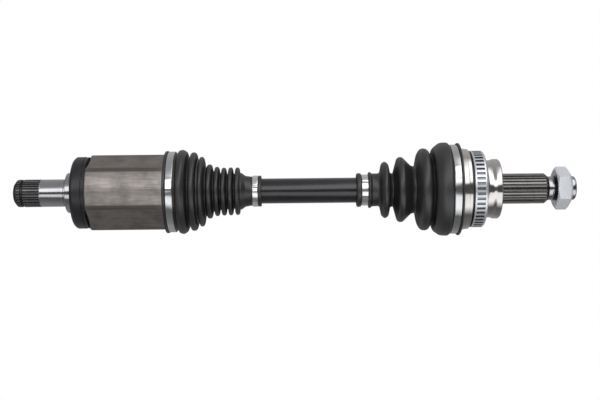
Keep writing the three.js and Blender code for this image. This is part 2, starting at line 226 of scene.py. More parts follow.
class Graph:
    """A node material, or the world, written as nested calls that return sockets."""

    def __init__(self, owner):
        owner.use_nodes = True
        self.tree = owner.node_tree
        self.tree.nodes.clear()

    def add(self, kind, out=0, settings=None, **inputs):
        """Add a node and return one of its outputs. An input is named, or i and its number."""
        node = self.tree.nodes.new("ShaderNode" + kind)
        for key, value in (settings or {}).items():
            setattr(node, key, value)
        for key, value in inputs.items():
            numbered = key[0] == "i" and key[1:].isdigit()
            self.feed(node.inputs[int(key[1:])] if numbered else node.inputs[key], value)
        return node.outputs[out]

    def feed(self, slot, value):
        """Link a socket to an input, or set the input to a plain value."""
        if isinstance(value, bpy.types.NodeSocket):
            self.tree.links.new(value, slot)
        else:
            slot.default_value = value

    def math(self, operation, a, b=0.0, c=0.0):
        return self.add("Math", settings={"operation": operation}, i0=a, i1=b, i2=c)

    def ramp(self, value, stops):
        """Grey shades by position, with straight blends between them."""
        result = self.add("ValToRGB", i0=value)
        elements = result.node.color_ramp.elements
        while len(elements) < len(stops):
            elements.new(0.5)
        for element, (place, shade) in zip(elements, stops):
            element.position = place
            element.color = (shade, shade, shade, 1)
        return result

    def noise(self, vector, scale, detail=3.0, roughness=0.5):
        return self.add("TexNoise", Vector=vector, Scale=scale, Detail=detail, Roughness=roughness)

    def stretch(self, vector, x, y, z):
        return self.add("VectorMath", settings={"operation": "MULTIPLY"}, i0=vector, i1=(x, y, z))

    def place(self):
        """A point's place in the row frame, in metres."""
        return self.add("TexCoord", out=3)

    def parts(self, vector):
        """The three outputs of a vector's x, y and z."""
        return self.add("SeparateXYZ", i0=vector).node.outputs

    def axle_coordinates(self):
        """(x, radius, angle) of a point, in metres and radians."""
        x, y, z = self.parts(self.place())
        squares = self.math("ADD", self.math("MULTIPLY", y, y), self.math("MULTIPLY", z, z))
        return self.add("CombineXYZ", i0=x, i1=self.math("SQRT", squares), i2=self.math("ARCTAN2", z, y))

    def pointiness(self):
        """Above 0.5 on convex edges, below it in hollows."""
        return self.add("NewGeometry", out=7)

    def mix(self, share, a, b):
        """From colour a to colour b as the share goes from 0 to 1."""
        node = self.add("Mix", settings={"data_type": "RGBA"}, Factor=share).node
        for slot, value in ((node.inputs[6], a), (node.inputs[7], b)):
            self.feed(slot, (*value, 1) if isinstance(value, tuple) else value)
        return node.outputs[2]

    def range(self, value, low, high):
        """A value from 0 to 1, spread from low to high."""
        return self.add("MapRange", Value=value, i3=low, i4=high)

    def bump(self, height, distance, strength, normal=None):
        inputs = {"Height": height, "Distance": distance, "Strength": strength}
        if normal is not None:
            inputs["Normal"] = normal
        return self.add("Bump", **inputs)

    def surface(self, **inputs):
        shader = self.add("BsdfPrincipled", **{key.replace("_", " "): value for key, value in inputs.items()})
        self.finish("OutputMaterial", shader)

    def finish(self, kind, shader):
        node = self.tree.nodes.new("ShaderNode" + kind)
        self.tree.links.new(shader, node.inputs[0])


def edge_wear(g):
    """1 on convex edges, 0 elsewhere."""
    return g.ramp(g.pointiness(), [(0.5, 0.0), (0.62, 1.0)])


def brighter(colour, factor):
    return tuple(min(1, channel * factor) for channel in colour)


def turned_metal(name, colour, dark, roughness, lines=0.5, blotches=0.5, tint=None, tips=None):
    """Steel turned on a lathe: fine rings round the axle, soft blotches of oil and handling, bright edges.

    On a spline, tips is the radius in millimetres beyond which the teeth are lightened towards the tint.
    """
    material = bpy.data.materials.new(name)
    g = Graph(material)
    axle = g.axle_coordinates()
    rings = g.noise(g.stretch(axle, 1, 1, 0.0008), 5200.0, 4.0, 0.7)
    patches = g.noise(g.stretch(axle, 1, 1, 0.012), 95.0, 4.0, 0.6)
    fine = g.noise(g.place(), 900.0, 3.0, 0.6)
    soil = g.math("MULTIPLY", g.ramp(patches, [(0.42, 0.0), (0.72, 1.0)]), blotches)
    ring_shade = g.math("MULTIPLY", g.ramp(rings, [(0.35, 0.0), (0.75, 1.0)]), lines * 0.5)
    base = g.mix(ring_shade, g.mix(soil, colour, dark), dark)
    base = g.mix(g.math("MULTIPLY", edge_wear(g), 0.5), base, tint or colour)
    if tips:
        # The teeth are lighter beyond the tips radius.
        lighter_crests = g.math("GREATER_THAN", g.parts(axle)[1], tips * MM)
        base = g.mix(g.math("MULTIPLY", lighter_crests, 0.75), base, tint)
    ring_rough = g.range(rings, roughness * (1 - 0.3 * lines), roughness * (1 + 0.4 * lines))
    rough = g.math("ADD", ring_rough, g.math("MULTIPLY", soil, 0.12))
    normal = g.bump(rings, 0.00004 * lines, 0.5, g.bump(fine, 0.00002, 0.35))
    g.surface(Base_Color=base, Metallic=1.0, Roughness=rough, Normal=normal)
    return material


def painted_lobe_shading(g, around, streaks):
    """Painted light and shade round the lobes: 1 over their middles, 0.1 at their shoulders and 0.6 in the
    troughs, with ragged edges.
    """
    facing = math.radians(180 - TRIPOD_ROLL)
    lobe = g.math("COSINE", g.math("MULTIPLY_ADD", around, 3.0, -3.0 * facing))
    ragged = g.math("MULTIPLY_ADD", streaks, 0.1, -0.05)
    lobe = g.math("ADD", g.math("MULTIPLY_ADD", lobe, 0.5, 0.5), ragged)
    return g.ramp(lobe, [(0.37, 0.6), (0.42, 0.1), (0.585, 0.1), (0.625, 1.0)])


def forged_metal(name, colour, dark, roughness):
    """Forged and drawn steel: streaks along the axle, painted light and shade round the lobes, small pits and
    scuffs.
    """
    material = bpy.data.materials.new(name)
    g = Graph(material)
    axle = g.axle_coordinates()
    streaks = g.noise(g.stretch(axle, 14, 300, 11), 3.0, 6.0, 0.65)
    mottle = g.noise(g.place(), 60.0, 5.0, 0.62)
    grit = g.noise(g.place(), 1500.0, 3.0, 0.6)
    pits = g.add("TexVoronoi", Vector=g.place(), Scale=420.0)
    pitted = g.ramp(pits, [(0.05, 1.0), (0.14, 0.0)])
    soil = g.math("MULTIPLY", g.ramp(mottle, [(0.38, 0.0), (0.7, 1.0)]), 0.55)
    streaked = g.ramp(streaks, [(0.4, 0.0), (0.66, 1.0)])
    # Painted light and shade: the lobes light over their middles, darkest at their shoulders and mid-dark in
    # the troughs.
    base = g.mix(painted_lobe_shading(g, g.parts(axle)[2], streaks), dark, colour)
    base = g.mix(soil, base, dark)
    base = g.mix(g.math("MULTIPLY", streaked, 0.42), base, dark)
    base = g.mix(g.math("MULTIPLY", pitted, 0.25), base, dark)
    base = g.mix(g.math("MULTIPLY", edge_wear(g), 0.6), base, brighter(colour, 1.5))
    streak_rough = g.range(streaks, roughness * 0.8, roughness * 1.15)
    rough = g.math("ADD", streak_rough, g.math("MULTIPLY", soil, 0.2))
    normal = g.bump(streaks, 0.00012, 0.35, g.bump(grit, 0.00004, 0.5))
    g.surface(Base_Color=base, Metallic=0.9, Roughness=rough, Normal=normal)
    return material


def moulded(name, colour, bloom, roughness, grain, specular):
    """Moulded rubber or plastic: fine grain, a pale bloom in patches, specks of dust and a painted sheen on
    the crests.
    """
    material = bpy.data.materials.new(name)
    g = Graph(material)
    place = g.place()
    patches = g.noise(place, 34.0, 5.0, 0.6)
    grain_height = g.noise(place, grain, 4.0, 0.65)
    specks = g.add("TexVoronoi", Vector=place, Scale=260.0)
    dust = g.math("MULTIPLY", g.ramp(specks, [(0.02, 1.0), (0.06, 0.0)]), 0.175)
    # Painted sheen: convex crests and edges lightened towards the bloom colour.
    lighter_crests = g.ramp(g.pointiness(), [(0.505, 0.0), (0.56, 0.75)])
    base = g.mix(g.ramp(patches, [(0.35, 0.0), (0.75, 0.8)]), colour, bloom)
    base = g.mix(dust, base, brighter(bloom, 3))
    base = g.mix(lighter_crests, base, brighter(bloom, 2.6))
    rough = g.math("ADD", g.range(patches, roughness - 0.07, roughness + 0.09),
                   g.range(grain_height, -0.05, 0.05))
    normal = g.bump(grain_height, 0.00012, 0.35, g.bump(patches, 0.0006, 0.25))
    g.surface(Base_Color=base, Roughness=rough, Normal=normal, Specular_IOR_Level=specular)
    return material


def painted(name, colour, bloom, roughness):
    """Satin paint on a drawn bar: a soft orange-peel, faint drawing lines underneath, and rubbed patches."""
    material = bpy.data.materials.new(name)
    g = Graph(material)
    axle = g.axle_coordinates()
    peel = g.noise(g.place(), 420.0, 3.0, 0.55)
    drawn = g.noise(g.stretch(axle, 6, 200, 10), 3.0, 4.0, 0.6)
    rubs = g.noise(g.stretch(axle, 1, 1, 0.02), 55.0, 5.0, 0.65)
    base = g.mix(g.ramp(rubs, [(0.4, 0.0), (0.8, 1.0)]), colour, bloom)
    rough = g.math("ADD", g.range(rubs, roughness - 0.06, roughness + 0.1), g.range(drawn, -0.03, 0.03))
    normal = g.bump(peel, 0.00006, 0.4, g.bump(drawn, 0.00006, 0.25))
    g.surface(Base_Color=base, Roughness=rough, Normal=normal, Coat_Weight=0.5, Coat_Roughness=0.15)
    return material


def plated(name, colour, dark, roughness, metallic):
    """Zinc plating: a pale bluish crystal bloom, soft and slightly uneven."""
    material = bpy.data.materials.new(name)
    g = Graph(material)
    place = g.place()
    crystals = g.add("TexVoronoi", Vector=place, Scale=620.0)
    haze = g.noise(place, 120.0, 5.0, 0.65)
    scuffs = g.noise(g.stretch(g.axle_coordinates(), 1, 1, 0.004), 900.0, 3.0, 0.6)
    base = g.mix(g.ramp(haze, [(0.35, 0.0), (0.75, 0.7)]), colour, dark)
    base = g.mix(g.math("MULTIPLY", g.ramp(crystals, [(0.1, 1.0), (0.6, 0.0)]), 0.12), base, dark)
    base = g.mix(g.math("MULTIPLY", edge_wear(g), 0.4), base, (0.93, 0.95, 0.98))
    rough = g.range(haze, roughness * 0.8, roughness * 1.25)
    normal = g.bump(scuffs, 0.00003, 0.3, g.bump(haze, 0.0001, 0.2))
    g.surface(Base_Color=base, Metallic=metallic, Roughness=rough, Normal=normal)
    return material


forged = forged_metal("forged_steel", (0.44, 0.405, 0.385), (0.12, 0.108, 0.098), 0.42)
ground = turned_metal("ground_steel", (0.48, 0.48, 0.50), (0.28, 0.28, 0.30), 0.13, lines=0.35, blotches=0.25)
bright = turned_metal("bell_steel", (0.70, 0.675, 0.665), (0.34, 0.315, 0.305), 0.11, blotches=0.4)
strip = turned_metal("band_steel", (0.70, 0.71, 0.72), (0.44, 0.45, 0.47), 0.17, lines=0.4, blotches=0.3)
pale_strip = turned_metal("narrow_band_steel", (0.94, 0.945, 0.95), (0.66, 0.67, 0.68), 0.2, lines=0.35,
                          blotches=0.25)
window_floor = turned_metal("window_floor_steel", (0.30, 0.30, 0.31), (0.16, 0.16, 0.17), 0.3, lines=0.3,
                            blotches=0.4)
dark_spline = turned_metal("hub_spline_steel", (0.10, 0.095, 0.092), (0.04, 0.038, 0.036), 0.28, lines=0.1,
                           tint=(0.35, 0.335, 0.325), tips=14.52)
phosphate = turned_metal("phosphated_steel", (0.075, 0.075, 0.075), (0.03, 0.03, 0.032), 0.32, lines=0.1,
                         blotches=0.6, tint=(0.20, 0.20, 0.205), tips=13.15)
dark_steel = turned_metal("dark_turned_steel", (0.06, 0.058, 0.056), (0.03, 0.03, 0.03), 0.3, lines=0.3)
spring = turned_metal("spring_steel", (0.07, 0.072, 0.078), (0.03, 0.03, 0.034), 0.38, lines=0.3,
                      blotches=0.4)
polished = turned_metal("bearing_steel", (0.62, 0.63, 0.65), (0.42, 0.43, 0.45), 0.1, lines=0.3, blotches=0.2)
zinc = plated("zinc_plate", (0.80, 0.835, 0.89), (0.60, 0.63, 0.70), 0.3, metallic=0.75)
pale_zinc = plated("nut_zinc_plate", (0.92, 0.945, 0.985), (0.74, 0.775, 0.84), 0.38, metallic=0.4)
rubber = moulded("boot_rubber", (0.011, 0.011, 0.012), (0.020, 0.020, 0.0215), 0.39, grain=2600.0,
                 specular=0.8)
plastic = moulded("black_plastic", (0.009, 0.009, 0.012), (0.017, 0.017, 0.022), 0.36, grain=1800.0,
                  specular=0.55)
satin_black = painted("satin_black_paint", (0.010, 0.0105, 0.014), (0.019, 0.020, 0.025), 0.22)


# ---------- splines and outlines ----------

TOOTH_SAMPLES = 12  # points round each spline tooth
STUB_TEETH = 30
HUB_TEETH = 27
TO_TROUGH = 60  # degrees from the middle of a lobe to the middle of the trough beside it
LOBE_HALF = 33.5  # degrees from the middle of a lobe to its shoulder


def smooth(low, high, value):
    """0 at low, 1 at high and a soft S between them."""
    t = np.clip((value - low) / (high - low), 0, 1)
    return t * t * (3 - 2 * t)


def teeth_radius(angles, teeth, root, tip):
    """Rounded trapezoid teeth, one radius per column."""
    phase = np.abs(((angles * teeth / TURN) % 1.0) - 0.5) * 2
    return root + (tip - root) * smooth(0.34, 0.58, phase)


def cut_teeth(rows, teeth):
    """Plain rows of (x, radius), cut down to the teeth of a spline."""
    return [(x, np.minimum(radius, teeth)) for x, radius in rows]


def from_lobe(angles):
    """Degrees from the middle of the nearest lobe. The first lobe faces -Y, turned up by the roll."""
    turned = np.degrees(angles) - (180 - TRIPOD_ROLL)
    return np.abs((turned + TO_TROUGH) % (2 * TO_TROUGH) - TO_TROUGH)


def lobe_radius(angles, over_lobe):
    """The housing's outline: round over the roller tracks, with a shallow trough between them."""
    off = from_lobe(angles)
    from_trough = TO_TROUGH - off
    trough_floor = 31.5 + 0.5 * (from_trough / 26) ** 2
    trough = trough_floor / np.cos(np.radians(from_trough))
    dip = np.minimum(trough, over_lobe) - over_lobe
    return over_lobe + dip * smooth(LOBE_HALF, LOBE_HALF + 2.4, off)


def track_radius(angles, ridge, half_width=15.15, deepest=33.0):
    """The bore's outline: three roller tracks, joined by ridges at the given radius."""
    off = np.radians(from_lobe(angles))
    wall = half_width / np.maximum(np.sin(off), 0.01)
    return np.maximum(np.minimum(wall, deepest), ridge)


# ---------- inner housing ----------


def build_inner_housing():
    """The splined stub and its journal, then the three-lobed outside, then the tracks inside, as one skin."""
    body = "inner_housing"
    end, mouth, tulip = span(body)
    ring_end = span("dust_ring")[1]
    cuff = span("inner_boot")[0]
    snap = middle("stub_snap_ring")
    angles = even_angles(STUB_TEETH * TOOTH_SAMPLES)
    root, tip = 12.35, 13.3
    teeth = teeth_radius(angles, STUB_TEETH, root, tip)
    spline_end = end + 26.0
    runout = spline_end - 2.2

    nose = [(end + 0.6 + 3.4 * t, 9.8 + 3.4 * math.sin(t * math.pi / 2)) for t in np.linspace(0, 1, 9)]
    rows = [(end, 0), (end, 8.9), (end + 0.25, 9.5)]
    rows += cut_teeth(nose + [(end + 4.6, tip), (snap - 1.3, tip), (snap - 1.15, 13.1)], teeth)
    rows += [(snap - 1.15, 11.3), (snap + 1.15, 11.3)]
    rows += cut_teeth([(snap + 1.15, 13.1), (snap + 1.3, tip), (runout, tip)], teeth)
    rows += [(runout + 2.2 * t, teeth + (13.25 - teeth) * t ** 2) for t in np.linspace(0.15, 1, 6)]
    journal = [(spline_end + 0.1, 13.2, 0), (-221.6, 13.2), (-221.2, 12.7), (-219.6, 12.7),
               (-219.2, 13.6, 0.4), (-219.0, 18.7, 0.3), (-218.4, 19.3, 0.3), (-211.0, 19.3, 0),
               (ring_end, 19.3, 0), (ring_end + 0.2, 19.6, 0)]
    rows += rounded(journal, 0.25)

    outer = lobe_radius(angles, tulip)
    back = ring_end + 0.3
    rows += [(back, outer - 1.5), (back + 0.15, outer - 1.15), (back + 1.0, outer - 0.3),
             (back + 1.35, outer - 0.08), (back + 1.8, outer)]
    rows += [(x, outer) for x in np.linspace(back + 4, cuff - 2, 14)]
    under_boot = 34.2
    rows += [(cuff - 0.6, outer), (cuff - 0.35, outer - 0.3)]
    rows += [(cuff - 0.3, np.minimum(outer - 0.6, under_boot)), (cuff, under_boot)]
    rows += [(mouth - 0.6, under_boot), (mouth, 33.7)]

    funnel_end = -136.0
    wide, narrow = 29.5, 20.0
    for t in np.linspace(0, 1, 8):
        rows.append((mouth + (funnel_end - mouth) * t, track_radius(angles, wide + (narrow - wide) * t)))
    rows += [(x, track_radius(angles, narrow)) for x in (-150.0, -170.0, -184.0)]
    rows += [(-186.0, track_radius(angles, ridge=19.0, half_width=14.4, deepest=32.0)), (-186.2, 0)]
    piece = skin("inner_housing_forging", rows, angles, body=body, sharp=math.radians(26))
    dress(piece, body, "forged_steel", (phosphate, spline_end - 0.3), (ground, back - 0.1),
          (forged, TO_THE_END))


def build_snap_ring():
    """The wire ring in the stub's groove, with its gap at the back."""
    x0, x1, _ = span("stub_snap_ring")
    ring = arc_strip("stub_snap_ring_wire", x0 - 0.1, x1 + 0.1, 11.5, 12.9, -158, 158, "inner_housing")
    dress(ring, "stub_snap_ring", "spring_steel", (spring, TO_THE_END))


def build_dust_ring():
    x0, x1, r = span("dust_ring")
    hole = 19.6
    corners = [
        (x0 + 0.6, hole), (x0, hole + 0.8), (x0, hole + 4), (x0 + 1.2, hole + 5, 0.8),
        (x0 + 1.2, r - 6.4, 0.8), (x0, r - 5.2, 0.6), (x0, r - 2.4, 1.6), (x0 + 2.4, r, 2.4),
        (x1 - 3.4, r, 0.35), (x1 - 3.2, r - 0.8, 0.25), (x1 - 2.2, r - 0.8, 0.25), (x1 - 2.0, r - 0.3, 0.3),
        (x1 - 0.1, r - 0.35, 0.4), (x1, hole + 6), (x1, hole),
    ]
    ring = lathe("dust_ring_moulding", corners, "inner_housing")
    dress(ring, "dust_ring", "black_plastic", (plastic, TO_THE_END))


# ---------- boots ----------


def ripple(piece, size, seed):
    """Moulding is never perfectly round: a slow drift of a tenth or two of a millimetre."""
    mesh = piece.data
    co = np.empty(len(mesh.vertices) * 3)
    mesh.vertices.foreach_get("co", co)
    co = co.reshape(-1, 3)
    angle = np.arctan2(co[:, 2], co[:, 1])
    x = co[:, 0] / MM
    wave = np.sin(3 * angle + 0.31 * x + seed) + 0.6 * np.sin(5 * angle - 0.17 * x + 2.1 * seed)
    scale = 1 + size * wave / np.maximum(np.hypot(co[:, 1], co[:, 2]) / MM, 1)
    co[:, 1:] *= scale[:, None]
    mesh.vertices.foreach_set("co", co.ravel())
    mesh.update()


def boot_skin(name, node, corners, wall, unevenness, seed):
    """A rubber boot: the outside profile, and the same profile a wall's thickness nearer the axis."""
    outside = rounded(corners, 1.2)
    inside = [(x, r - wall) for x, r in reversed(outside)]
    boot = skin(name, outside + inside, closed=True, sharp=math.radians(50))
    ripple(boot, unevenness, seed)
    dress(boot, node, "boot_rubber", (rubber, TO_THE_END))
    return boot


def blend_along(piece):
    """Bake the piece's transform into its mesh. It follows no body."""
    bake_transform(piece)


def fold_corners(folds, crest_half=1.75, valley_half=0.6, rounding=1.9):
    corners = []
    for crest, crest_r, valley, valley_r in folds:
        corners += [(crest - crest_half, crest_r, rounding), (crest + crest_half, crest_r, rounding),
                    (valley - valley_half, valley_r, 0.8), (valley + valley_half, valley_r, 0.8)]
    return corners


# A fold is its crest's x and radius, then the x and radius of the valley after it.
SEAM_FOLD = (-96.9, 37.9, -92.4, 30.0)
SMALL_FOLDS = [(-89.3, 33.7, -85.3, 23.5), (-81.7, 26.2, -77.8, 19.6), (-74.7, 23.9, -71.4, 17.9),
               (-68.1, 23.2, -64.8, 17.2), (-61.6, 23.2, -58.3, 17.0), (-55.1, 23.0, -51.9, 17.7)]


def build_inner_boot():
    """Two skins that overlap in a valley: one runs from the cuff to the valley, the other from the valley to
    the shaft.
    """
    x0, x1, r = span("inner_boot")
    big0, big1, big_r = span("inner_boot_big_clamp")
    small0, small1, small_r = span("inner_boot_small_clamp")
    big_seat, small_seat = big_r - 1.3, small_r - 1.2
    crest, crest_r, seam, seam_r = SEAM_FOLD

    cuff = [
        (x0 + 1, 34.5), (x0, 35.5, 0.4), (x0, 39.6, 0.7), (big0 - 0.35, 39.7, 0.7),
        (big0 - 0.3, big_seat, 0.2), (big1 + 0.3, big_seat, 0.2), (big1 + 0.8, 37.2, 0.3),
        (-112.3, 37.2, 1.2), (-110.6, r - 0.4, 2.6), (-107.0, r + 0.6, 3.6), (-103.4, 38.6, 2.6),
        (-102.1, 34.2, 0.8), (-101.0, 33.2, 0.6), (-100.0, 33.6, 0.7),
        (crest - 2.4, crest_r, 2.4), (crest + 2.4, crest_r, 2.4),
        (seam - 0.7, seam_r, 0.5), (seam + 1.2, seam_r - 0.4, 0),
    ]
    piece = boot_skin("inner_boot_cuff_folds", "inner_boot", cuff, wall=2.0, unevenness=0.12, seed=1.0)
    blend_along(piece)

    after_seam = [(seam - 1.2, seam_r + 0.5, 0), (seam + 0.7, seam_r, 0.5)]
    tail = [
        (-47.4, 14.9, 4.0), (small0 - 1.6, small_seat + 0.3, 2.0), (small0 - 0.3, small_seat + 0.3, 0.2),
        (small0 - 0.25, small_seat, 0.1), (small1 + 0.25, small_seat, 0.1), (small1 + 0.3, 15.0, 0.5),
        (x1 - 0.2, 14.9, 0.8), (x1, 13.4, 0.3),
    ]
    folds = after_seam + fold_corners(SMALL_FOLDS) + tail
    piece = boot_skin("inner_boot_folds", "inner_boot", folds, wall=1.2, unevenness=0.1, seed=2.0)
    blend_along(piece)


def build_outer_boot():
    """One skin: the small clamp's neck, four folds and the large cuff."""
    x0, x1, _ = span("outer_boot")
    small0, small1, small_r = span("outer_boot_small_clamp")
    big0, big1, big_r = span("outer_boot_big_clamp")
    small_seat, big_seat = small_r - 1.2, big_r - 1.3
    neck = [
        (x0, 13.6), (x0, 15.6, 0.8), (x0 + 1.3, 16.4, 0.8), (small0 - 0.5, 16.2, 0.6),
        (small0 - 0.25, small_seat, 0.1), (small1 + 0.25, small_seat, 0.1), (small1 + 0.3, 17.2, 0.6),
        (72.6, 17.5, 0.8), (74.4, 15.9, 0.8), (80.4, 15.8, 1.0), (82.0, 17.4, 1.0),
    ]
    folds = [
        (83.6, 25.2, 2.6), (87.0, 28.0, 3.2), (90.0, 25.2, 2.6), (91.8, 16.8, 1.0), (94.6, 15.8, 1.2),
        (96.6, 23.0, 2.5), (99.0, 31.2, 3.4), (103.4, 31.6, 3.4), (112.0, 23.2, 2.4), (115.6, 22.4, 1.6),
        (118.2, 34.6, 4.5), (121.0, 39.6, 5.0), (127.6, 39.6, 5.0), (130.4, 34.0, 1.4), (131.4, 32.4, 0.8),
        (133.0, 40.0, 5.5), (139.4, 44.9, 8.0), (146.8, 45.1, 3.0),
    ]
    cuff = [
        (big0 - 0.3, big_seat + 1.3, 0.9), (big0 - 0.25, big_seat, 0.1), (big1 + 0.25, big_seat, 0.1),
        (big1 + 0.3, 44.4, 0.6), (x1 - 0.2, 44.6, 0.8), (x1, 42.4, 0.5), (x1, 41.6, 0),
    ]
    corners = neck + folds + cuff
    piece = boot_skin("outer_boot_bellows", "outer_boot", corners, wall=1.6, unevenness=0.14, seed=3.0)
    blend_along(piece)


# ---------- clamps ----------


def lap_swell(share):
    """A lap sinks towards the band where it starts, and has two ridges pressed in it near the other end."""
    ridges = sum(math.exp(-((share - place) / 0.03) ** 2) for place in (0.72, 0.86))
    return 0.4 * ridges - 0.55 * smooth(0.12, 0.0, share)


def build_clamp(node, body, start, stop, coat, step_up):
    """A strip clamp: the round band, and its outer end lapped over it from one angle to another.

    The angles are degrees above the -Y side, and the lap stands step_up millimetres proud of the band.
    """
    x0, x1, r = span(node)
    thick = 1.0
    corners = [(x0, r - thick), (x0, r - 0.12, 0.35), (x0 + 0.9, r, 0.8), (x1 - 0.9, r, 0.8),
               (x1, r - 0.12, 0.35), (x1, r - thick)]
    band = lathe(node + "_band", corners, body, 0.1)
    lap = arc_strip(node + "_lap", x0 + 0.35, x1 - 0.35, r - 0.15, r + step_up, start, stop, body, lap_swell)
    for piece in (band, lap):
        dress(piece, node, "band_steel", (coat, TO_THE_END))


# ---------- bar ----------

BAR_SEAT = 11.7  # the bar's radius where the spider and the inner race sit


def ring_groove(x):
    """The groove in a seat of the bar for a snap ring."""
    x0, x1, bottom = x - 0.8, x + 0.8, 10.4
    return [(x0, BAR_SEAT, 0.1), (x0, bottom, 0.1), (x1, bottom, 0.1), (x1, BAR_SEAT, 0.1)]


def build_bar():
    x0, x1, r = span("axle_bar")
    spider_end = span("tripod_spider")[1] + 0.3
    race_start = span("ball_inner_race")[0] - 0.3
    near0, near1, _ = span("inner_boot_small_clamp")
    far0, far1, _ = span("outer_boot_small_clamp")
    waist = r - 0.5
    corners = [(x0, 0, 0), (x0, BAR_SEAT, 0.9)] + ring_groove(middle("spider_snap_ring"))
    corners += [(spider_end, BAR_SEAT, 0.2), (spider_end + 0.6, r, 0.8)]
    corners += [(near0 - 1.5, r, 0.3), (near0, waist, 0.3), (near1, waist, 0.3), (near1 + 1.2, r, 0.4)]
    corners += [(far0 - 1.2, r, 0.4), (far0, waist, 0.3), (far1, waist, 0.3), (far1 + 1.5, r, 0.4)]
    corners += [(race_start - 0.6, r, 0.8), (race_start, BAR_SEAT, 0.2)]
    corners += ring_groove(middle("race_snap_ring")) + [(x1, BAR_SEAT, 0.9), (x1, 0, 0)]
    bar = lathe("axle_bar_painted", corners, "shaft", closed=False)
    dress(bar, "axle_bar", "satin_black_paint", (polished, spider_end + 2), (satin_black, race_start - 2),
          (polished, TO_THE_END))


# ---------- outer housing ----------

THREAD_PITCH = 1.5
THREAD_BLANK = 11.45  # the bar's radius just before the thread


def thread_rows(start, stop, angles):
    """A right-hand thread that grows out of the plain bar over its first pitch."""
    crest, depth = 0.5, 0.85
    rows = []
    for x in np.arange(start, stop, THREAD_PITCH / 6):
        phase = (x / THREAD_PITCH - angles / TURN) % 1.0
        groove = depth * np.abs(2 * phase - 1)
        fade = min(1.0, (x - start) / THREAD_PITCH)
        rows.append((x, THREAD_BLANK + fade * (crest - groove)))
    return rows


def build_outer_housing():
    """The ball-shaped cavity, then the bell's outside, the hub spline and the thread, as one skin."""
    body = "outer_housing"
    mouth, end, bell = span(body)
    ring_start = span("abs_ring")[0]
    angles = even_angles(HUB_TEETH * TOOTH_SAMPLES)
    root, tip = 13.4, 14.6
    teeth = teeth_radius(angles, HUB_TEETH, root, tip)
    centre = middle("ball_inner_race")
    cavity_radius = 27.4
    face = 196.3
    spline_end = 240.3

    cavity = [(centre + cavity_radius * math.cos(a), cavity_radius * math.sin(a))
              for a in np.linspace(0.42, 1.92, 26)]
    outside = [
        cavity[-1], (mouth + 0.5, 29.6, 0.4), (mouth, 30.6, 0.3), (mouth, bell - 1.2, 0.3),
        (mouth + 1.2, bell, 0.3), (162.8, bell, 0.3), (163.3, bell - 0.35, 0.2), (166.3, bell - 0.5, 0.5),
        (166.5, 35.3, 0.2), (ring_start - 0.3, 35.3, 0.2), (ring_start - 0.2, 34.9, 0.2), (180.4, 34.9, 0.2),
        (180.4, 29.6, 0.4), (181.4, 28.8, 0.4), (183.4, 27.7, 2.5), (188.0, 27.6, 2.5), (190.6, 28.7, 0.8),
        (face - 1.0, 28.7, 0.3), (face, 27.7, 0.3), (face, 16.0, 0.8), (face + 1.0, 15.0, 0.6),
    ]
    rows = [(cavity[0][0], 0)] + cavity + rounded(outside, 0.3)[1:]

    spline_start, shank = face + 1.6, 14.62
    rows += [(spline_start, shank)]
    rows += [(spline_start + 2.2 * t, teeth + (shank - teeth) * (1 - t) ** 2) for t in np.linspace(0.2, 1, 6)]
    rows += cut_teeth([(x, tip) for x in np.linspace(face + 6, spline_end, 6)], teeth)
    rows += cut_teeth([(spline_end + 3.4 * t, tip - 3.0 * t) for t in np.linspace(0.12, 1, 7)], teeth)
    rows += [(spline_end + 3.6, 11.4), (246.0, 11.4), (246.5, THREAD_BLANK)]
    rows += thread_rows(246.6, end - 4.6, angles)
    rows += [(end - 4.4, 11.5), (end - 1.2, 11.5), (end - 1.0, 11.4), (end - 0.2, 10.7), (end, 10.4)]
    centre_drill = [(end, 4.2), (end - 0.4, 3.6), (end - 4.4, 1.6), (end - 8.0, 1.5), (end - 9.0, 0)]
    piece = skin("outer_housing_bell", rows + centre_drill, angles, body=body, sharp=math.radians(28))
    # The thread is dark from 248.6 mm to 4.5 mm short of the end.
    dress(piece, body, "bell_steel", (bright, 166.4), (dark_steel, ring_start - 0.25), (bright, face + 0.5),
          (dark_spline, spline_end + 3.45), (ground, 248.6), (dark_steel, end - 4.5), (ground, TO_THE_END))


def build_abs_ring():
    """A pressed ring with a row of windows, and a flange turned in over the step behind it."""
    x0, x1, r = span("abs_ring")
    windows = 48
    pitch = TURN / windows
    half_width, depth = 1.15, 1.45
    half = half_width / r
    bevel = 0.004
    window = [-half - bevel, -half, 0, half, half + bevel, pitch / 2]
    angles = np.array([i * pitch + place for i in range(windows) for place in window])
    is_open = np.array([place in (-half, 0, half) for _ in range(windows) for place in window])
    deep = np.where(is_open, r - depth, r)
    inner = 35.25
    rows = [
        (x0, inner), (x0, r - 0.35), (x0 + 0.1, r - 0.1), (x0 + 0.35, r), (x0 + 1.65, r), (x0 + 1.8, deep),
        (x1 - 1.85, deep), (x1 - 1.7, r), (x1 - 0.9, r), (x1 - 0.35, r - 0.12), (x1 + 0.2, r - 0.5),
        (x1 + 0.75, r - 1.2), (x1 + 1.0, r - 2.0), (x1 + 1.1, 30.4), (x1 + 0.9, 30.1), (x1 + 0.45, 30.1),
        (x1 + 0.4, 34.6), (x1 + 0.2, inner),
    ]
    ring = skin("abs_ring_windows", rows, angles, closed=True, body="outer_housing")
    dress(ring, "abs_ring", "zinc_plate", (zinc, TO_THE_END))
    ring.data.materials.append(window_floor)
    for face in ring.data.polygons:
        x, y, z = face.center / MM
        if x0 + 2 < x < x1 - 2 and math.hypot(y, z) < r - 0.5:
            face.material_index = 1


# ---------- hub nut ----------


def apply_modifiers(piece):
    graph = bpy.context.evaluated_depsgraph_get()
    mesh = bpy.data.meshes.new_from_object(piece.evaluated_get(graph))
    piece.modifiers.clear()
    piece.data = mesh


def cut(piece, tool, operation):
    """Cut one piece with another, which is then removed."""
    modifier = piece.modifiers.new("cut", "BOOLEAN")
    modifier.object = tool
    modifier.operation = operation
    modifier.solver = "EXACT"
    apply_modifiers(piece)
    bpy.data.objects.remove(tool)


